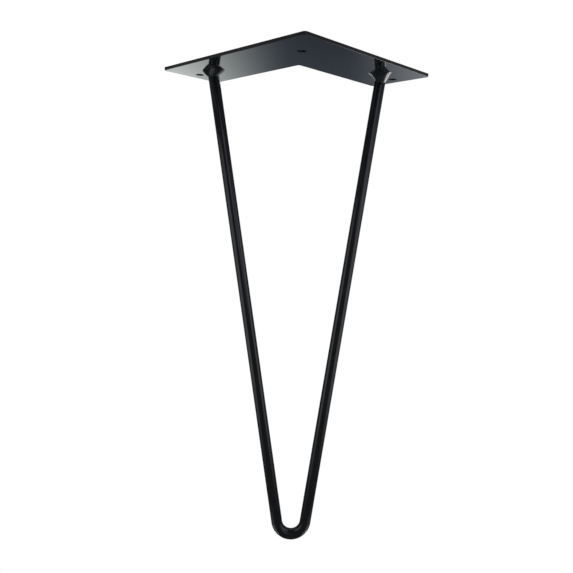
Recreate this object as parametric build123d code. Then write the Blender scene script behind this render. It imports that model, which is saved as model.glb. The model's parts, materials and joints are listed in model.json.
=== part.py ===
"""Two-rod hairpin leg for a table: a flat L-shaped mounting plate, one round bar bent into a
narrow V, and a fillet weld where each end of the bar meets the underside of the plate.

The mounting face is at Z = 0 and the leg hangs below it. The origin is the centre of the corner
screw hole on that face. Plate and bar are mirrored about X = 0, and the plate's outer corner
points towards -Y. The foot of the bar leans towards that corner.
"""
import os
from math import asin, atan2, cos, hypot, radians, sin

from build123d import *

# The whole leg
leg_height = 406.4              # mounting face to the lowest point of the bend, 16 in

# Mounting plate, cut from sheet steel
arm_length = 163.5              # outer corner to the square end of each arm
arm_width = 60.5
plate_thickness = 2.66          # 12 gauge sheet
outer_corner_radius = 2.5
inner_corner_radius = 1.5
rim_radius = 0.3                # sheared edges, softened under the coat

# Screw holes, on the centreline of each arm
screw_hole_diameter = 7.14      # 9/32 in
end_hole_inset = 12.0           # end of the arm to the centre of its screw hole

# Bent bar
bar_diameter = 9.525            # 3/8 in round bar
bend_inner_radius = 7.75
hole_to_bar = 19.5              # screw hole to the bar's axis, along the arm
edge_to_bar = 29.0              # outer edge of the arm to the bar's axis, across the arm
lean_angle = 5.0                # degrees, foot towards the plate's outer corner

# Fillet welds: each reaches furthest towards the outer corner, and the right one is the larger
left_bead_beside = 5.0          # past the bar on either side, on the plate
left_bead_ahead = 6.5           # past the bar towards the outer corner
left_bead_behind = 2.0
left_bead_leg_on_bar = 3.7
right_bead_beside = 5.0
right_bead_ahead = 10.5
right_bead_behind = 1.0
right_bead_leg_on_bar = 5.0
bead_toe = 0.5                  # thickness left where a bead runs out on the bar
bead_toe_tip = 30.0             # degrees from square to the bar, lower towards the outer corner

# Places on the plate: local X runs along the right arm's centreline, local Y along the left one's
arm_frame = Plane.XY.rotated((0, 0, 45))
hole_to_edge = arm_width / 2
end_hole_reach = arm_length - end_hole_inset - hole_to_edge
bar_end = arm_frame.from_local_coords((end_hole_reach - hole_to_bar, edge_to_bar - hole_to_edge))

# The bar's axis lies in one leaning plane: local X is X, and local Y runs down to the foot
bar_radius = bar_diameter / 2
bend_radius = bend_inner_radius + bar_radius
down_leg = Vector(0, 0, -1).rotate(Axis.X, -lean_angle)
bar_plane = Plane(
    origin=(0, bar_end.Y, -plate_thickness),
    x_dir=(1, 0, 0),
    z_dir=Vector(1, 0, 0).cross(down_leg),
)
foot_reach = (leg_height - plate_thickness - bar_radius) / cos(radians(lean_angle))
bend_centre_reach = foot_reach - bend_radius

# Each straight of the bar is the tangent from its end on the plate to the circle of the bend
bar_splay = atan2(bar_end.X, bend_centre_reach)
bar_splay -= asin(bend_radius / hypot(bar_end.X, bend_centre_reach))
apex_reach = bend_centre_reach + bend_radius / sin(bar_splay)


def make_mounting_plate() -> Part:
    """L-shaped plate with a screw hole in the corner square and one near the end of each arm."""
    near = -hole_to_edge
    inner = arm_width - hole_to_edge
    far = arm_length - hole_to_edge
    corners = [
        ((near, near), outer_corner_radius),
        ((far, near), outer_corner_radius),
        ((far, inner), outer_corner_radius),
        ((inner, inner), inner_corner_radius),
        ((inner, far), outer_corner_radius),
        ((near, far), outer_corner_radius),
    ]
    points = [point for point, _ in corners]
    radii = [radius for _, radius in corners]
    with BuildPart(arm_frame) as plate:
        with BuildSketch(arm_frame):
            with BuildLine():
                FilletPolyline(*points, radius=radii, close=True)
            make_face()
        extrude(amount=-plate_thickness)
        fillet(plate.faces().filter_by(Axis.Z).edges(), rim_radius)
        with Locations((0, 0), (end_hole_reach, 0), (0, end_hole_reach)):
            Hole(screw_hole_diameter / 2)
    return plate.part


def make_bar_blank() -> Part:
    """The bent bar before its ends are trimmed, running on past the plate by a bar's width."""
    spare = bar_diameter
    end_x = bar_end.X + spare * sin(bar_splay)
    end_y = -spare * cos(bar_splay)
    with BuildPart() as blank:
        with BuildLine(bar_plane) as axis:
            FilletPolyline((end_x, end_y), (0, apex_reach), (-end_x, end_y), radius=bend_radius)
        with BuildSketch(axis.line ^ 0):
            Circle(bar_radius)
        sweep()
    return blank.part


def make_hairpin_rod(blank: Part) -> Part:
    """The bent bar with both ends trimmed flush with the plate's underside."""
    return split(blank, bisect_by=Plane.XY.offset(-plate_thickness), keep=Keep.BOTTOM)


def make_weld_bead(
    blank: Part, side: int, beside: float, ahead: float, behind: float, leg_on_bar: float
) -> Part:
    """Fillet weld round one end of the bar.

    The bead is lofted from an oval footprint on the plate to a thin toe round the bar, and the
    bar is cut out of it. side is the sign of X, +1 or -1. beside, ahead and behind are how far
    the footprint reaches past the bar, and leg_on_bar is measured at the bar's sides. The toe's
    plane is tipped, so its round outline is drawn as the oval that the tipped plane cuts.
    """
    down_bar = bar_plane.y_dir * cos(bar_splay) - bar_plane.x_dir * (side * sin(bar_splay))
    end = Vector(side * bar_end.X, bar_end.Y, -plate_thickness)
    footprint_centre = end - Vector(0, (ahead - behind) / 2, 0)
    toe_centre = end + down_bar * leg_on_bar
    toe_facing = down_bar.rotate(Axis.X, bead_toe_tip)
    toe_radius = bar_radius + bead_toe
    with BuildPart() as bead:
        with BuildSketch(Plane(origin=footprint_centre, x_dir=(1, 0, 0), z_dir=(0, 0, -1))):
            Ellipse(bar_radius + beside, bar_radius + (ahead + behind) / 2)
        with BuildSketch(Plane(origin=toe_centre, x_dir=(1, 0, 0), z_dir=toe_facing)):
            Ellipse(toe_radius, toe_radius / cos(radians(bead_toe_tip)))
        loft(ruled=True)
        add(blank, mode=Mode.SUBTRACT)
    return bead.part


def main() -> None:
    """Build each piece and write its STEP file."""
    blank = make_bar_blank()
    left_reach = (left_bead_beside, left_bead_ahead, left_bead_behind)
    right_reach = (right_bead_beside, right_bead_ahead, right_bead_behind)
    pieces = {
        "mounting_plate": make_mounting_plate(),
        "hairpin_rod": make_hairpin_rod(blank),
        "weld_bead_left": make_weld_bead(blank, -1, *left_reach, left_bead_leg_on_bar),
        "weld_bead_right": make_weld_bead(blank, 1, *right_reach, right_bead_leg_on_bar),
    }
    os.makedirs("parts", exist_ok=True)
    for name, piece in pieces.items():
        export_step(piece, f"parts/{name}.step")


main()
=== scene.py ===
"""Looks for a two-rod hairpin table leg in gloss black, hung in a white photo studio.

The plate keeps its CAD mesh and gets a finish. The bent bar and the two weld beads are finer
surfaces that stand for their CAD solids. Lengths are in metres, angles in degrees unless a name
says otherwise, in the frame of the CAD model: +Z up, the plate's mounting face at Z = 0, and the
plate's outer corner towards -Y.
"""
import json
import logging
from dataclasses import dataclass, field
from enum import Enum
from math import asin, atan2, cos, hypot, pi, radians, sin, sqrt, tan
from typing import Any

import bpy
import numpy as np
from mathutils import Euler, Matrix, Vector


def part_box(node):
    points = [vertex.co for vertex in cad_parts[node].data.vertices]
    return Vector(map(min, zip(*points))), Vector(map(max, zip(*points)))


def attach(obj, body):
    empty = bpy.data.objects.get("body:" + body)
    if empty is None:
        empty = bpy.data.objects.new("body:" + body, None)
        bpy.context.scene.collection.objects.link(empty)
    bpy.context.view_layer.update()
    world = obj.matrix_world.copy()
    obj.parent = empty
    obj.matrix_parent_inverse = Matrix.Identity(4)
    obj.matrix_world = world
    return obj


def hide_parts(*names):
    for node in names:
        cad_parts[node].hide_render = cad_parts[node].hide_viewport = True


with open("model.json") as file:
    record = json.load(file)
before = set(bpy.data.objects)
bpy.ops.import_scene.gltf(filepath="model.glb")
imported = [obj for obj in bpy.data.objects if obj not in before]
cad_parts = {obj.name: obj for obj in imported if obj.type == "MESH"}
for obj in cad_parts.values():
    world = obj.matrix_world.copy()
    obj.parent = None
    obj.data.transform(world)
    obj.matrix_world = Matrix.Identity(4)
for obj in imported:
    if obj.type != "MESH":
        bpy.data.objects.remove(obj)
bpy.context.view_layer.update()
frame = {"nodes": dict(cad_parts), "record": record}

log = logging.getLogger("hairpin_leg")

MM = 0.001
WHITE = (1.0, 1.0, 1.0, 1.0)
# What the gloss mirrors where no light stands
DARK_ROOM = (0.040, 0.044, 0.049)
# Socket numbers of a Mix node that mixes colours: first, second and result
COLOUR_A, COLOUR_B, COLOUR_MIX = 6, 7, 2
# Mesh attribute with each point's place on the straightened bar
BAR_ATTRIBUTE = "bar_place"


class Wire:
    """One output socket of a node tree, with the arithmetic that the finishes use."""

    def __init__(self, graph: "Graph", socket: bpy.types.NodeSocket) -> None:
        """Keep the socket and the graph that new nodes go into."""
        self.graph = graph
        self.socket = socket

    def _math(self, operation: str, *values: Any) -> "Wire":
        """One Math node on this wire's graph, from values or wires."""
        return self.graph.wire("ShaderNodeMath", {"operation": operation}, dict(enumerate(values)))

    def __add__(self, other: Any) -> "Wire":
        """Sum."""
        return self._math("ADD", self, other)

    __radd__ = __add__

    def __sub__(self, other: Any) -> "Wire":
        """Difference."""
        return self._math("SUBTRACT", self, other)

    def __rsub__(self, other: Any) -> "Wire":
        """Difference with this wire taken away."""
        return self._math("SUBTRACT", other, self)

    def __mul__(self, other: Any) -> "Wire":
        """Product."""
        return self._math("MULTIPLY", self, other)

    __rmul__ = __mul__

    def __truediv__(self, other: Any) -> "Wire":
        """Quotient."""
        return self._math("DIVIDE", self, other)

    def __rtruediv__(self, other: Any) -> "Wire":
        """Quotient with this wire as the divisor."""
        return self._math("DIVIDE", other, self)

    def __gt__(self, other: Any) -> "Wire":
        """1 where this wire is the larger, 0 elsewhere."""
        return self._math("GREATER_THAN", self, other)

    def __lt__(self, other: Any) -> "Wire":
        """1 where this wire is the smaller, 0 elsewhere."""
        return self._math("LESS_THAN", self, other)

    def __abs__(self) -> "Wire":
        """Size without its sign."""
        return self._math("ABSOLUTE", self)

    def most(self, other: Any) -> "Wire":
        """The larger of two."""
        return self._math("MAXIMUM", self, other)

    def ease(self, start: float, stop: float, low: float = 0.0, high: float = 1.0) -> "Wire":
        """Smooth step from low to high as the wire goes from start to stop.

        Args:
            start: Input at which the output is low.
            stop: Input at which the output is high.
            low: Output before start.
            high: Output past stop.

        Returns:
            The eased wire.
        """
        settings = {"interpolation_type": "SMOOTHSTEP", "clamp": True}
        sockets = {
            "Value": self, "From Min": start, "From Max": stop, "To Min": low, "To Max": high,
        }
        return self.graph.wire("ShaderNodeMapRange", settings, sockets)


class Graph:
    """A node tree that is filled from Python expressions."""

    def __init__(self, tree: bpy.types.NodeTree) -> None:
        """Empty the tree and keep it."""
        self.tree = tree
        tree.nodes.clear()

    def node(self, kind: str, settings: dict[str, Any], sockets: dict[Any, Any]) -> bpy.types.Node:
        """Add one node.

        Args:
            kind: The node's type.
            settings: Its properties, set before its sockets.
            sockets: Values or wires for its inputs, by name or by number.

        Returns:
            The new node.
        """
        made = self.tree.nodes.new(kind)
        for name, value in settings.items():
            setattr(made, name, value)
        for key, value in sockets.items():
            if isinstance(value, Wire):
                self.tree.links.new(value.socket, made.inputs[key])
            else:
                made.inputs[key].default_value = value
        return made

    def wire(
        self, kind: str, settings: dict[str, Any], sockets: dict[Any, Any], output: Any = 0
    ) -> Wire:
        """Add one node and return one of its outputs.

        Args:
            kind: The node's type.
            settings: Its properties.
            sockets: Values or wires for its inputs.
            output: Name or number of the output.

        Returns:
            That output as a wire.
        """
        return Wire(self, self.node(kind, settings, sockets).outputs[output])

    def vector(self, operation: str, *values: Any, output: Any = 0) -> Wire:
        """One Vector Math node.

        Args:
            operation: What it does.
            values: Vectors or wires.
            output: Name or number of the output.

        Returns:
            The result as a wire.
        """
        settings = {"operation": operation}
        return self.wire("ShaderNodeVectorMath", settings, dict(enumerate(values)), output)

    def scaled(self, vector: Any, factor: Any) -> Wire:
        """A vector or colour times a number."""
        sockets = {0: vector, "Scale": factor}
        return self.wire("ShaderNodeVectorMath", {"operation": "SCALE"}, sockets)

    def noise(self, place: Wire, size: float, detail: float, rough: float = 0.5) -> Wire:
        """Soft noise between 0 and 1 whose lumps are about as large as size.

        Args:
            place: Coordinates in metres.
            size: Size of a lump in metres.
            detail: Octaves of finer noise.
            rough: How strong each finer octave is.

        Returns:
            The noise as a wire.
        """
        sockets = {"Vector": place, "Scale": 1.0 / size, "Detail": detail, "Roughness": rough}
        return self.wire("ShaderNodeTexNoise", {}, sockets)

    def blend(self, share: Any, first: Any, second: Any) -> Wire:
        """Two shaders mixed: all of the first at 0 and all of the second at 1."""
        return self.wire("ShaderNodeMixShader", {}, {0: share, 1: first, 2: second})


class PatternPlace(Enum):
    """What a finish's pattern follows."""

    SOLID = "the object's own coordinates"
    ALONG_BAR = "the straightened bar, kept as an attribute on the mesh"


@dataclass(frozen=True)
class GlossCoat:
    """Baked gloss coat on steel: near black under a clear, slightly rippled skin.

    Each pattern is soft noise with lumps of its size. octaves says how much finer noise it
    holds, grain how strong that is, and depth how high it lifts the skin. The drawn lines, which
    only the bar has, are noise stretched along it.
    """

    name: str
    colour: tuple[float, float, float] = (0.0046, 0.0049, 0.0053)
    dust_colour: tuple[float, float, float] = (0.010, 0.0105, 0.011)
    dust_size: float = 9 * MM
    dust_octaves: float = 5.0
    dust_grain: float = 0.65
    dust_range: tuple[float, float] = (0.45, 0.8)
    roughness: float = 0.13
    roughness_spread: float = 0.10
    haze_size: float = 14 * MM
    haze_octaves: float = 4.0
    haze_grain: float = 0.6
    skin_roughness: float = 0.035
    refraction: float = 1.5
    peel_size: float = 2.4 * MM
    peel_octaves: float = 1.0
    peel_depth: float = 0.0035 * MM
    wave_size: float = 46 * MM
    wave_octaves: float = 0.0
    wave_depth: float = 0.03 * MM
    draw_size: float = 0.9 * MM
    draw_octaves: float = 3.0
    draw_stretch: float = 60.0
    draw_depth: float = 0.0
    place: PatternPlace = PatternPlace.SOLID

    def make(self) -> bpy.types.Material:
        """Build the material.

        Returns:
            The finished material.
        """
        material = bpy.data.materials.new(self.name)
        material.use_nodes = True
        graph = Graph(material.node_tree)
        where = self._where(graph)
        shader = graph.wire("ShaderNodeBsdfPrincipled", {}, {
            "Base Color": self._tone(graph, where),
            "Roughness": self._haze(graph, where),
            "IOR": self.refraction,
            "Coat Weight": 1.0,
            "Coat Roughness": self.skin_roughness,
            "Coat IOR": self.refraction,
            "Normal": self._skin(graph, where),
        })
        graph.node("ShaderNodeOutputMaterial", {}, {"Surface": shader})
        return material

    def _where(self, graph: Graph) -> Wire:
        """Find the coordinates that the pattern follows.

        Args:
            graph: The material's nodes.

        Returns:
            Coordinates in metres.
        """
        if self.place is PatternPlace.ALONG_BAR:
            settings = {"attribute_name": BAR_ATTRIBUTE}
            return graph.wire("ShaderNodeAttribute", settings, {}, "Vector")
        return graph.wire("ShaderNodeTexCoord", {}, {}, "Object")

    def _tone(self, graph: Graph, where: Wire) -> Wire:
        """Black with a thin, uneven film of dust.

        Args:
            graph: The material's nodes.
            where: Coordinates in metres.

        Returns:
            The base colour.
        """
        film = graph.noise(where, self.dust_size, self.dust_octaves, self.dust_grain)
        black, dust = (*self.colour, 1.0), (*self.dust_colour, 1.0)
        sockets = {0: film.ease(*self.dust_range), COLOUR_A: black, COLOUR_B: dust}
        return graph.wire("ShaderNodeMix", {"data_type": "RGBA"}, sockets, COLOUR_MIX)

    def _haze(self, graph: Graph, where: Wire) -> Wire:
        """Roughness that drifts a little from place to place."""
        drift = graph.noise(where, self.haze_size, self.haze_octaves, self.haze_grain)
        return self.roughness + (drift - 0.5) * self.roughness_spread

    def _skin(self, graph: Graph, where: Wire) -> Wire:
        """Relief of the skin: fine peel plus long waves plus, on drawn bar, lines along it.

        Args:
            graph: The material's nodes.
            where: Coordinates in metres.

        Returns:
            The normal.
        """
        height = graph.noise(where, self.peel_size, self.peel_octaves) * self.peel_depth
        waves = graph.noise(where, self.wave_size, self.wave_octaves)
        height = height + waves * self.wave_depth
        if self.draw_depth:
            squeezed = graph.vector("MULTIPLY", where, (1.0, 1.0, 1.0 / self.draw_stretch))
            lines = graph.noise(squeezed, self.draw_size, self.draw_octaves)
            height = height + lines * self.draw_depth
        sockets = {"Strength": 1.0, "Distance": 1.0, "Height": height}
        return graph.wire("ShaderNodeBump", {}, sockets)


def surface(name: str, points: np.ndarray, caps: bool = False) -> bpy.types.Object:
    """Make a mesh from a grid of points that closes round its second direction.

    Corner (i, j) of the grid joins (i + 1, j), (i + 1, j + 1) and (i, j + 1), so that faces look
    outwards where i runs away from the viewer and j runs clockwise seen along it.

    Args:
        name: Name of the object.
        points: Array of shape (rings, sides, 3) in metres.
        caps: Close the first and last ring with a fan. Otherwise the last ring joins the first.

    Returns:
        The object, linked to the scene.
    """
    rings, sides = points.shape[:2]
    last = rings - 1 if caps else rings
    ring = np.arange(last)[:, None]
    side = np.arange(sides)[None, :]
    after = (ring + 1) % rings
    beside = (side + 1) % sides
    here, there = ring * sides, after * sides
    corners = (here + side, here + beside, there + beside, there + side)
    quads = np.stack(corners, axis=-1).reshape(-1, 4)
    flat = points.reshape(-1, 3)
    faces = quads.tolist()
    if caps:
        first, final = rings * sides, rings * sides + 1
        flat = np.vstack([flat, points[0].mean(0), points[-1].mean(0)])
        ahead = np.arange(sides)
        behind = (ahead + 1) % sides
        start = np.stack([behind, ahead, np.full(sides, first)], axis=-1)
        tail = (rings - 1) * sides
        end = np.stack([tail + ahead, tail + behind, np.full(sides, final)], axis=-1)
        faces += start.tolist() + end.tolist()
    mesh = bpy.data.meshes.new(name)
    mesh.from_pydata(flat.tolist(), [], faces)
    mesh.update()
    mesh.polygons.foreach_set("use_smooth", np.ones(len(faces), bool))
    made = bpy.data.objects.new(name, mesh)
    bpy.context.scene.collection.objects.link(made)
    return made


@dataclass
class BarRoute:
    """Centreline of the bent bar, in one leaning plane under the plate.

    The plane holds side, which is X, and down, which runs from the plate's underside towards the
    foot. face is square to both. splay is the angle in radians between down and a straight, and
    centre_down is how far down the centre of the bend lies.
    """

    bar_diameter: float = 9.525 * MM
    bend_inner_radius: float = 7.75 * MM
    hole_to_bar: float = 19.5 * MM
    centreline_to_bar: float = 1.25 * MM
    lean: float = 5.0
    radius: float = field(init=False)
    bend_radius: float = field(init=False)
    end_x: float = field(init=False)
    end_y: float = field(init=False)
    top_z: float = field(init=False)
    down: np.ndarray = field(init=False)
    side: np.ndarray = field(init=False)
    face: np.ndarray = field(init=False)
    centre_down: float = field(init=False)
    splay: float = field(init=False)
    straight: float = field(init=False)

    def __post_init__(self) -> None:
        """Work out the places that follow from the sizes and the frame."""
        pattern = next(m for m in frame["record"]["mounts"] if m["name"] == "end_screw_holes")
        hole_x = pattern["dims"]["spacing_x_mm"] * MM / 2
        hole_y = pattern["pos_m"][1]
        slant = sqrt(0.5)  # the plate's arms stand at 45 degrees to X
        along = self.hole_to_bar * slant
        across = self.centreline_to_bar * slant
        self.radius = self.bar_diameter / 2
        self.bend_radius = self.bend_inner_radius + self.radius
        self.end_x = hole_x - along + across
        self.end_y = hole_y - along - across
        self.top_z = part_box("mounting_plate")[0].z
        foot_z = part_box("hairpin_rod")[0].z
        lean = radians(self.lean)
        self.down = np.array([0.0, -sin(lean), -cos(lean)])
        self.side = np.array([1.0, 0.0, 0.0])
        self.face = np.cross(self.side, self.down)
        self.centre_down = (self.top_z - foot_z - self.radius) / cos(lean) - self.bend_radius
        reach = hypot(self.end_x, self.centre_down)
        self.splay = atan2(self.end_x, self.centre_down) - asin(self.bend_radius / reach)
        self.straight = sqrt(reach**2 - self.bend_radius**2)

    @property
    def origin(self) -> np.ndarray:
        """Point midway between the bar's ends, on the plate's underside."""
        return np.array([0.0, self.end_y, self.top_z])

    def down_bar(self, sign: int) -> np.ndarray:
        """Unit direction from one end of the bar towards the foot. sign is that of X."""
        return self.down * cos(self.splay) - self.side * (sign * sin(self.splay))

    def stations(self, on_straight: int, on_bend: int) -> tuple[np.ndarray, np.ndarray, np.ndarray]:
        """Places, outward directions and lengths along the bar, from the right end to the left.

        The straights are tangents to the circle of the bend. On the bend the outward direction
        turns evenly from one straight's to the other's, and the place is the circle's centre
        plus the bend's radius along it.

        Args:
            on_straight: Stations on each straight.
            on_bend: Stations on the bend.

        Returns:
            Arrays of places (n, 3), outward unit vectors (n, 3) and lengths (n,).
        """
        sweep = pi / 2 - self.splay
        turn = np.concatenate([
            np.full(on_straight, sweep),
            np.linspace(sweep, -sweep, on_bend + 2)[1:-1],
            np.full(on_straight, -sweep),
        ])
        run = np.linspace(self.straight, 0.0, on_straight)
        back = np.concatenate([run, np.zeros(on_bend), -run[::-1]])
        out = np.sin(turn)[:, None] * self.side + np.cos(turn)[:, None] * self.down
        ahead = -np.cos(turn)[:, None] * self.side + np.sin(turn)[:, None] * self.down
        centre = self.origin + self.down * self.centre_down
        place = centre + out * self.bend_radius - ahead * back[:, None]
        length = -self.bend_radius * turn - back
        return place, out, length


@dataclass
class BentBar:
    """The round bar as one smooth tube, trimmed flush with the plate's underside."""

    route: BarRoute
    on_straight: int = 70
    on_bend: int = 72
    sides: int = 96

    def build(self) -> bpy.types.Object:
        """Make the tube.

        Each station carries a circle in the plane of its outward direction and the face of the
        V. The first and last circles slide along the bar until they lie on the plate.

        Returns:
            The bar's object.
        """
        route = self.route
        place, out, length = route.stations(self.on_straight, self.on_bend)
        angle = np.linspace(0.0, 2 * pi, self.sides, endpoint=False)
        ring_out = np.cos(angle)[None, :, None] * out[:, None, :]
        ring_face = np.sin(angle)[None, :, None] * route.face[None, None, :]
        points = place[:, None, :] + route.radius * (ring_out + ring_face)
        for index, sign in ((0, 1), (-1, -1)):
            axis = route.down_bar(sign)
            slide = (route.top_z - points[index, :, 2]) / axis[2]
            points[index] += slide[:, None] * axis
        bar = surface("bent_bar", points, caps=True)
        self._mark(bar, angle, length)
        return bar

    def _mark(self, bar: bpy.types.Object, angle: np.ndarray, length: np.ndarray) -> None:
        """Store each point's place on the straightened bar, for patterns that follow it.

        Its first two numbers are the point's place across the round bar, and the third is the
        length along it.

        Args:
            bar: The bar's object.
            angle: Directions round the bar.
            length: Length along the bar of each station.
        """
        round_bar = np.stack([np.cos(angle), np.sin(angle)], axis=-1) * self.route.radius
        rings = np.broadcast_to(round_bar[None], (len(length), self.sides, 2))
        lengths = np.broadcast_to(length[:, None, None], (len(length), self.sides, 1))
        straightened = np.concatenate([rings, lengths], axis=-1).reshape(-1, 3)
        ends = np.array([[0.0, 0.0, length[0]], [0.0, 0.0, length[-1]]])
        values = np.vstack([straightened, ends]).astype(np.float32)
        marks = bar.data.attributes.new(BAR_ATTRIBUTE, "FLOAT_VECTOR", "POINT")
        marks.data.foreach_set("vector", values.ravel())


@dataclass
class WeldBead:
    """Fillet weld round one end of the bar, with the ripples of its deposits.

    side is the sign of X, +1 or -1. beside, ahead and behind are how far its footprint reaches
    past the bar on the plate, ahead being towards the outer corner. widest_ahead is where it is
    widest, ahead of the bar's axis, inward moves it towards X = 0, and skew moves it ahead by
    that share of the way to the right. sag is how far the flank sinks midway, less than 0 where
    it swells. toe is the thickness left on the bar, and bury how deep in the bar the ring closes.

    Up the flank each ripple lags by ripple_bow turns times the square of the way from bow_middle.
    flare leans the flank's outward direction down the bar, and crest_wander is the share of the
    outline's wander that the edge on the bar follows.
    """

    route: BarRoute
    side: int
    beside: float
    ahead: float
    behind: float
    leg_on_bar: float
    widest_ahead: float
    inward: float
    skew: float
    sag: float
    seed: int
    toe: float = 0.25 * MM
    toe_tip: float = 30.0
    bury: float = 0.15 * MM
    ripple_pitch: float = 1.45 * MM
    ripple_depth: float = 0.07 * MM
    ripple_bow: float = 0.9
    bow_middle: float = 0.45
    ripple_strength: float = 0.5
    overtone_strength: float = 0.2
    overtone_lag: float = 0.9
    unevenness: float = 0.15 * MM
    wander_turns: tuple[int, ...] = (2, 3, 5)
    crest_wander: float = 0.5
    flare: float = 0.8
    around: int = 360
    flank: int = 30

    def build(self) -> bpy.types.Object:
        """Make the bead as a closed ring.

        The flank runs from an egg-shaped outline on the plate to a tipped oval round the bar and
        sags by a parabola between them, four times the share of the way times what is left of it.
        A slow wander moves the outline in and out. The ripples are a wave round the bar and its
        overtone, and they die out at both edges of the flank. The ring closes along the bar, just
        inside its surface, and along the plate.

        Returns:
            The bead's object.
        """
        route = self.route
        down_bar = route.down_bar(self.side)
        end = np.array([self.side * route.end_x, route.end_y, route.top_z])
        right = np.cross(down_bar, [0.0, 1.0, 0.0])
        right /= np.linalg.norm(right)
        rear = np.cross(right, down_bar)
        angle = np.linspace(0.0, 2 * pi, self.around, endpoint=False)
        flat_round = np.stack([np.cos(angle), np.sin(angle), np.zeros_like(angle)], axis=-1)
        bar_round = np.cos(angle)[:, None] * right + np.sin(angle)[:, None] * rear
        wander = self._wander(angle)
        on_plate = end + self._footprint(angle) + flat_round * wander[:, None]
        leg = self.leg_on_bar - route.radius * tan(radians(self.toe_tip)) * np.sin(angle)
        crest = end + down_bar * (leg + self.crest_wander * wander)[:, None]
        on_bar = crest + bar_round * (route.radius + self.toe)
        share = np.linspace(0.0, 1.0, self.flank)[:, None, None]
        points = on_plate * (1 - share) + on_bar * share
        outward = flat_round * (1 - share) + bar_round * share + down_bar * self.flare
        outward /= np.linalg.norm(outward, axis=-1, keepdims=True)
        swell = 4 * share * (1 - share)
        turns = round(2 * pi * (route.radius + self.beside / 2) / self.ripple_pitch)
        lag = 2 * pi * self.ripple_bow * (share - self.bow_middle) ** 2
        phase = turns * angle[None, :, None] + lag
        ripple = self.ripple_strength * np.cos(phase)
        ripple = ripple + self.overtone_strength * np.cos(2 * phase + self.overtone_lag)
        points = points + outward * (np.sqrt(swell) * ripple * self.ripple_depth - swell * self.sag)
        inside = route.radius - self.bury
        low = crest + bar_round * inside
        high = end + bar_round * inside
        high += down_bar * ((route.top_z - high[:, 2]) / down_bar[2])[:, None]
        grid = np.concatenate([points, low[None], high[None]])
        return surface(f"weld_{'right' if self.side > 0 else 'left'}", grid)

    def _footprint(self, angle: np.ndarray) -> np.ndarray:
        """Outline on the plate, from the bar's axis: two half ovals joined where it is widest.

        Args:
            angle: Directions round the bar.

        Returns:
            Array of shape (sides, 3).
        """
        half_width = self.route.radius + self.beside
        front = self.route.radius + self.ahead - self.widest_ahead
        rear = self.route.radius + self.behind + self.widest_ahead
        across = half_width * np.cos(angle)
        back = np.where(np.sin(angle) < 0, front, rear) * np.sin(angle)
        back = back - self.widest_ahead - self.skew * across
        return np.stack([across - self.side * self.inward, back, 0 * angle], axis=-1)

    def _wander(self, angle: np.ndarray) -> np.ndarray:
        """Slow change of the bead's reach: sines round the bar, weaker the more turns they make.

        Args:
            angle: Directions round the bar.

        Returns:
            Array of shape (sides,) in metres.
        """
        draw = np.random.default_rng(self.seed)
        turns = self.wander_turns
        phases = draw.uniform(0.0, 2 * pi, len(turns))
        waves = [np.sin(turn * angle + phase) / turn for turn, phase in zip(turns, phases)]
        return self.unevenness * np.sum(waves, axis=0)


@dataclass(frozen=True)
class LightPanel:
    """A soft rectangle of light, far away, that the gloss coat mirrors.

    heading is from +Y towards +X and height is above the horizon. They, the half sizes and the
    feather are in degrees.
    """

    heading: float
    height: float
    half_width: float
    half_height: float
    feather: float
    strength: float
    tint: tuple[float, float, float] = (1.0, 1.0, 1.0)
    least_ahead: float = 0.001

    def glow(self, graph: Graph, look: Wire) -> Wire:
        """The panel's light in a direction.

        The direction is measured against the panel's own axes: how far it lies to the side and
        above the middle, as tangents. Two smooth steps fade it out past its half sizes, and it
        stays dark behind, where the direction's share along the middle is under least_ahead.

        Args:
            graph: The world's nodes.
            look: Unit direction.

        Returns:
            Colour of the light.
        """
        turn, rise = radians(self.heading), radians(self.height)
        middle = Vector((sin(turn) * cos(rise), cos(turn) * cos(rise), sin(rise)))
        right = Vector((cos(turn), -sin(turn), 0.0))
        up = right.cross(middle)
        ahead = graph.vector("DOT_PRODUCT", look, middle, output="Value")
        depth = ahead.most(self.least_ahead)
        sideways = abs(graph.vector("DOT_PRODUCT", look, right, output="Value") / depth)
        upwards = abs(graph.vector("DOT_PRODUCT", look, up, output="Value") / depth)
        wide, high = tan(radians(self.half_width)), tan(radians(self.half_height))
        soft = tan(radians(self.feather))
        mask = sideways.ease(wide - soft, wide + soft, 1.0, 0.0)
        mask = mask * upwards.ease(high - soft, high + soft, 1.0, 0.0)
        mask = mask * (ahead > self.least_ahead)
        return graph.scaled(self.tint, mask * self.strength)


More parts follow.
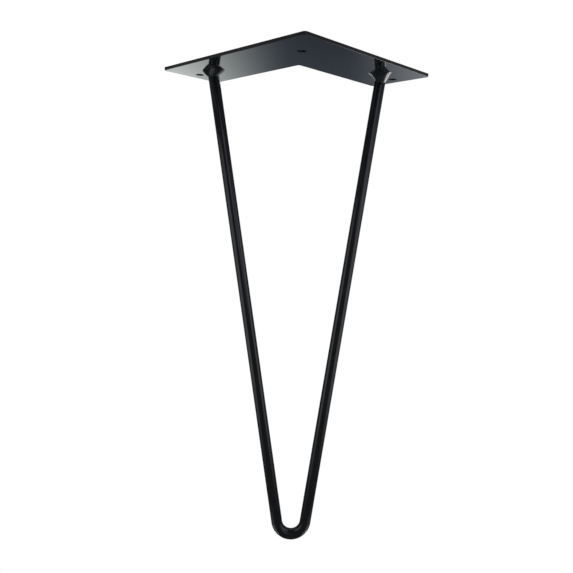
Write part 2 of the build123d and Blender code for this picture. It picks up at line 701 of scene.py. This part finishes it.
@dataclass(frozen=True)
class GlowCard:
    """An upright card beside the leg, across X, which only the gloss of the coat sees.

    Its middle, half size and feather are given along Y and Z. It adds soft light to what lies
    behind it, or with covers set it hides that behind its own tint.
    """

    name: str
    x: float
    middle: tuple[float, float]
    half_size: tuple[float, float]
    feather: tuple[float, float]
    strength: float
    tint: tuple[float, float, float] = (0.93, 1.0, 1.05)
    covers: bool = False

    def build(self) -> None:
        """Make the card, as large as its half sizes with the feather round them."""
        reach = np.array(self.half_size) + np.array(self.feather)
        corners = np.array([[-1, -1], [1, -1], [1, 1], [-1, 1]]) * reach + np.array(self.middle)
        mesh = bpy.data.meshes.new(self.name)
        mesh.from_pydata([(self.x, y, z) for y, z in corners.tolist()], [], [(0, 1, 2, 3)])
        mesh.materials.append(self._light())
        card = bpy.data.objects.new(self.name, mesh)
        bpy.context.scene.collection.objects.link(card)
        card.visible_camera = False
        card.visible_diffuse = False
        card.visible_shadow = False
        card.visible_transmission = False

    def _light(self) -> bpy.types.Material:
        """Light that fades by a smooth step at each edge of the card.

        Returns:
            The card's material.
        """
        material = bpy.data.materials.new(self.name)
        material.use_nodes = True
        graph = Graph(material.node_tree)
        where = graph.wire("ShaderNodeTexCoord", {}, {}, "Object")
        split = graph.node("ShaderNodeSeparateXYZ", {}, {0: where})
        edges = []
        for axis, middle, half, soft in zip("YZ", self.middle, self.half_size, self.feather):
            off = abs(Wire(graph, split.outputs[axis]) - middle)
            edges.append(off.ease(half - soft, half + soft, 1.0, 0.0))
        mask = edges[0] * edges[1]
        clear = graph.wire("ShaderNodeBsdfTransparent", {}, {})
        glow = graph.wire(
            "ShaderNodeEmission", {}, {"Color": (*self.tint, 1.0), "Strength": self.strength}
        )
        full = glow if self.covers else graph.wire("ShaderNodeAddShader", {}, {0: clear, 1: glow})
        graph.node("ShaderNodeOutputMaterial", {}, {"Surface": graph.blend(mask, clear, full)})
        return material


@dataclass
class Studio:
    """White room: world, floor, cards and softbox. None of it is part of the object.

    The floor fades out between the two distances of floor_fade. fill is how bright the room is
    to matt surfaces.
    """

    floor_z: float = -1.0
    floor_fade: tuple[float, float] = (0.45, 0.95)
    floor_colour: tuple[float, float, float] = (0.82, 0.82, 0.82)
    floor_sides: int = 96
    floor_rings: int = 11
    fill: float = 0.75
    dark: tuple[float, float, float] = DARK_ROOM
    softbox_place: tuple[float, float, float] = (-0.5, -0.5, 1.5)
    softbox_aim: tuple[float, float, float] = (0.0, 0.0, -0.2)
    softbox_size: float = 1.5
    softbox_watts: float = 6.0
    # Heading, height, half width, half height, feather, strength and tint
    panels: list[LightPanel] = field(default_factory=lambda: [
        LightPanel(-8.4, -8.3, 3.7, 7.3, 6.5, 1.32, (0.945, 1.0, 0.955)),
        LightPanel(-1, -17, 2.5, 15, 3, 0.025, (0.9, 1.0, 1.2)),
        LightPanel(21, -20, 9, 9, 5.5, 0.47, (0.98, 1.0, 1.05)),
        LightPanel(38, -40, 9, 8, 5, 0.22, (0.98, 1.0, 1.05)),
        LightPanel(51.5, -31, 8, 18, 4, 4.0, (1.0, 1.0, 1.04)),
        LightPanel(4, -16, 16, 10, 8, 0.014, (0.55, 1.0, 1.8)),
        LightPanel(4, -4, 18, 9, 5, 0.035, (0.9, 1.0, 1.1)),
        LightPanel(152, 17, 16, 9, 6, 0.34, (0.94, 0.91, 1.3)),
        LightPanel(0, 60, 50, 14, 12, 0.16, (0.95, 1.0, 1.05)),
        LightPanel(-84, 12, 14, 5, 4, 0.075),
        LightPanel(84, 12, 14, 5, 4, 0.09),
    ])
    # Name, X, middle, half size, feather, strength, tint and whether it covers
    cards: list[GlowCard] = field(default_factory=lambda: [
        GlowCard("card_left", -0.175, (-0.03, -0.2), (0.095, 0.155), (0.06, 0.10), 0.44),
        GlowCard("card_right", 0.175, (-0.03, -0.1975), (0.095, 0.1575), (0.06, 0.09), 0.46),
        GlowCard("card_low_left", -0.14, (0.0, -0.56), (0.08, 0.09), (0.05, 0.04), 0.5),
        GlowCard("card_low_right", 0.14, (0.0, -0.56), (0.08, 0.09), (0.05, 0.04), 0.5),
        GlowCard("card_dark", 0.2, (0.21, -0.43), (0.19, 0.24), (0.02, 0.02), 1.0, DARK_ROOM, True),
        GlowCard(
            "card_shade", -0.12, (0.03, -0.038), (0.06, 0.014), (0.01, 0.004), 1.0, DARK_ROOM, True
        ),
    ])

    def build(self) -> None:
        """Set the world, the cards, the floor and the softbox."""
        self._world()
        for card in self.cards:
            card.build()
        self._floor()
        self._softbox()

    def _world(self) -> None:
        """White to the camera, plain light to matt surfaces, and dark with panels to gloss."""
        world = bpy.data.worlds.new("studio")
        bpy.context.scene.world = world
        world.use_nodes = True
        graph = Graph(world.node_tree)
        look = graph.wire("ShaderNodeTexCoord", {}, {}, "Generated")
        seen: Any = self.dark
        for panel in self.panels:
            seen = graph.vector("ADD", seen, panel.glow(graph, look))
        mirrored = graph.wire("ShaderNodeBackground", {}, {"Color": seen, "Strength": 1.0})
        plain = graph.wire("ShaderNodeBackground", {}, {"Color": WHITE, "Strength": self.fill})
        white = graph.wire("ShaderNodeBackground", {}, {"Color": WHITE, "Strength": 1.0})
        path = graph.node("ShaderNodeLightPath", {}, {})
        glossy = Wire(graph, path.outputs["Is Glossy Ray"])
        direct = Wire(graph, path.outputs["Is Camera Ray"])
        through = Wire(graph, path.outputs["Is Transmission Ray"])
        lit = graph.blend(glossy, plain, mirrored)
        lit = graph.blend(direct.most(through), lit, white)
        graph.node("ShaderNodeOutputWorld", {}, {"Surface": lit})

    def _floor(self) -> None:
        """A pale round sheet under the leg: a fan of triangles in rings of four-sided faces."""
        sides, rings = self.floor_sides, self.floor_rings
        angle = np.linspace(0.0, 2 * pi, sides, endpoint=False)
        radius = np.linspace(0.0, self.floor_fade[1], rings + 1)[1:]
        flat_round = np.stack([np.cos(angle), np.sin(angle), np.zeros_like(angle)], axis=-1)
        circles = radius[:, None, None] * flat_round
        flat = np.vstack([np.zeros((1, 3)), circles.reshape(-1, 3)]) + [0.0, 0.0, self.floor_z]
        side = np.arange(sides)
        beside = (side + 1) % sides
        fan = np.stack([np.zeros(sides, int), side + 1, beside + 1], axis=-1)
        start = 1 + sides * np.arange(rings - 1)[:, None]
        corners = (start + side, start + sides + side, start + sides + beside, start + beside)
        quads = np.stack(corners, axis=-1).reshape(-1, 4)
        mesh = bpy.data.meshes.new("floor")
        mesh.from_pydata(flat.tolist(), [], fan.tolist() + quads.tolist())
        mesh.materials.append(self._floor_sheet())
        floor = bpy.data.objects.new("floor", mesh)
        bpy.context.scene.collection.objects.link(floor)
        floor.visible_glossy = False

    def _floor_sheet(self) -> bpy.types.Material:
        """Matt and pale, fading into the white of the room with the distance from the middle.

        Returns:
            The floor's material.
        """
        material = bpy.data.materials.new("floor_sheet")
        material.use_nodes = True
        graph = Graph(material.node_tree)
        where = graph.wire("ShaderNodeTexCoord", {}, {}, "Object")
        level = graph.vector("MULTIPLY", where, (1.0, 1.0, 0.0))
        out = graph.vector("LENGTH", level, output="Value")
        matt = graph.wire("ShaderNodeBsdfDiffuse", {}, {"Color": (*self.floor_colour, 1.0)})
        clear = graph.wire("ShaderNodeBsdfTransparent", {}, {})
        fading = graph.blend(out.ease(*self.floor_fade), matt, clear)
        graph.node("ShaderNodeOutputMaterial", {}, {"Surface": fading})
        return material

    def _softbox(self) -> None:
        """A square lamp above, turned to the leg, that its gloss doesn't mirror."""
        light = bpy.data.lights.new("softbox_over", "AREA")
        light.shape = "SQUARE"
        light.size = self.softbox_size
        light.energy = self.softbox_watts
        lamp = bpy.data.objects.new("softbox_over", light)
        lamp.location = self.softbox_place
        lamp.visible_glossy = False
        facing = Vector(self.softbox_aim) - Vector(self.softbox_place)
        lamp.rotation_euler = facing.to_track_quat("-Z", "Y").to_euler()
        bpy.context.scene.collection.objects.link(lamp)


@dataclass(frozen=True)
class PhotoCamera:
    """The camera that took the picture, from the perspective of the plate's edges.

    turn is how the leg is turned, about X, Y and Z, before a camera that looks level along +Y.
    The camera takes the opposite turn, so that the leg stays upright.
    """

    focal_px: float = 633.0
    frame_px: float = 573.0
    sensor_mm: float = 36.0
    place: tuple[float, float, float] = (-23.92 * MM, -492.02 * MM, -132.35 * MM)
    turn: tuple[float, float, float] = (5.694, 0.803, 1.785)
    nearest: float = 0.01

    def build(self) -> None:
        """Make the camera and hand it to the scene."""
        lens = bpy.data.cameras.new("photo_camera")
        lens.sensor_width = self.sensor_mm
        lens.lens = self.sensor_mm * self.focal_px / self.frame_px
        lens.clip_start = self.nearest
        camera = bpy.data.objects.new("photo_camera", lens)
        level = Euler([radians(angle) for angle in self.turn], "XYZ").to_matrix().transposed()
        facing = level @ Matrix.Rotation(pi / 2, 3, "X")
        camera.matrix_world = Matrix.Translation(self.place) @ facing.to_4x4()
        bpy.context.scene.collection.objects.link(camera)
        bpy.context.scene.camera = camera


@dataclass
class HairpinLeg:
    """The whole leg: plate, bent bar and the two beads that join them."""

    route: BarRoute = field(default_factory=BarRoute)

    def build(self) -> None:
        """Build and dress each piece and tie it to the frame."""
        plate = frame["nodes"]["mounting_plate"]
        self._dress(plate, GlossCoat("plate_gloss_coat").make())
        log.info("plate dressed, %d triangles", len(plate.data.polygons))
        bar = BentBar(self.route).build()
        coat = GlossCoat("bar_gloss_coat", place=PatternPlace.ALONG_BAR, draw_depth=0.004 * MM)
        self._dress(bar, coat.make())
        self._seat(bar, "hairpin_rod", "rod_coat")
        weld_coat = GlossCoat("weld_gloss_coat", peel_depth=0.006 * MM).make()
        left = WeldBead(
            self.route, -1, beside=5.0 * MM, ahead=6.5 * MM, behind=2.0 * MM, leg_on_bar=3.7 * MM,
            widest_ahead=3.4 * MM, inward=0.8 * MM, skew=0.3, sag=-0.35 * MM, seed=4,
        )
        right = WeldBead(
            self.route, 1, beside=5.4 * MM, ahead=10.5 * MM, behind=1.0 * MM, leg_on_bar=5.0 * MM,
            widest_ahead=8.6 * MM, inward=1.9 * MM, skew=0.0, sag=0.3 * MM, seed=9,
        )
        beads = {"weld_bead_left": left, "weld_bead_right": right}
        for node, bead in beads.items():
            piece = bead.build()
            self._dress(piece, weld_coat)
            self._seat(piece, node, "weld_coat")

    @staticmethod
    def _dress(piece: bpy.types.Object, material: bpy.types.Material) -> None:
        """Give a piece one material all over."""
        piece.data.materials.clear()
        piece.data.materials.append(material)

    @staticmethod
    def _seat(piece: bpy.types.Object, node: str, slot: str) -> None:
        """Let a piece ride on the frame and stand for its CAD solid.

        Args:
            piece: The finished piece.
            node: The CAD node that it stands for.
            slot: Not used.
        """
        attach(piece, "root")
        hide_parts(node)
        log.info("%s stands for %s, %d faces", piece.name, node, len(piece.data.polygons))


def main() -> None:
    """Build the leg, the studio and the photo camera, and set the view transform."""
    logging.basicConfig(level=logging.INFO, format="%(name)s: %(message)s")
    HairpinLeg().build()
    Studio().build()
    PhotoCamera().build()
    scene = bpy.context.scene
    scene.view_settings.view_transform = "Standard"


if __name__ == "__main__":
    main()
